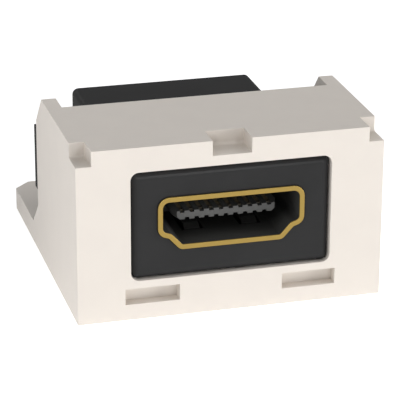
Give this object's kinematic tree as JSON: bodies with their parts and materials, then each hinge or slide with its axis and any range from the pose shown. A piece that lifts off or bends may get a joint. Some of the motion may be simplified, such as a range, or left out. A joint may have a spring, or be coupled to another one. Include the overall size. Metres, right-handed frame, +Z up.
{
  "type": "video coupler module",
  "caption": "Wall plate coupler module: off-white moulded housing with a flat base plate and a black coupler body with a gold-rimmed video port at each end.",
  "frame": {"origin": "under the middle of the module, on the plane of its flat underside", "axes": "+X across the width, +Y from the front face to the rear, +Z up"},
  "size_m": [0.0314, 0.034, 0.0181],
  "materials": {
    "housing_plastic": "fine matt moulding",
    "coupler_plastic": "satin black moulding",
    "insulator_plastic": "satin grey moulding",
    "board_laminate": "green solder mask",
    "shell_plating": "gold plating on a stamped shell",
    "contact_plating": "gold plating"
  },
  "bodies": {
    "root": {"housing": "housing_plastic", "coupler_body": "coupler_plastic", "rear_cover": "coupler_plastic", "circuit_board": "board_laminate", "front_port_shell": "shell_plating", "rear_port_shell": "shell_plating", "front_insulator": "insulator_plastic", "rear_insulator": "insulator_plastic", "front_contact_01": "contact_plating", "front_contact_02": "contact_plating", "front_contact_03": "contact_plating", "front_contact_04": "contact_plating", "front_contact_05": "contact_plating", "front_contact_06": "contact_plating", "front_contact_07": "contact_plating", "front_contact_08": "contact_plating", "front_contact_09": "contact_plating", "front_contact_10": "contact_plating", "front_contact_11": "contact_plating", "front_contact_12": "contact_plating", "front_contact_13": "contact_plating", "front_contact_14": "contact_plating", "front_contact_15": "contact_plating", "front_contact_16": "contact_plating", "front_contact_17": "contact_plating", "front_contact_18": "contact_plating", "front_contact_19": "contact_plating", "rear_contact_01": "contact_plating", "rear_contact_02": "contact_plating", "rear_contact_03": "contact_plating", "rear_contact_04": "contact_plating", "rear_contact_05": "contact_plating", "rear_contact_06": "contact_plating", "rear_contact_07": "contact_plating", "rear_contact_08": "contact_plating", "rear_contact_09": "contact_plating", "rear_contact_10": "contact_plating", "rear_contact_11": "contact_plating", "rear_contact_12": "contact_plating", "rear_contact_13": "contact_plating", "rear_contact_14": "contact_plating", "rear_contact_15": "contact_plating", "rear_contact_16": "contact_plating", "rear_contact_17": "contact_plating", "rear_contact_18": "contact_plating", "rear_contact_19": "contact_plating"}
  },
  "joints": []
}
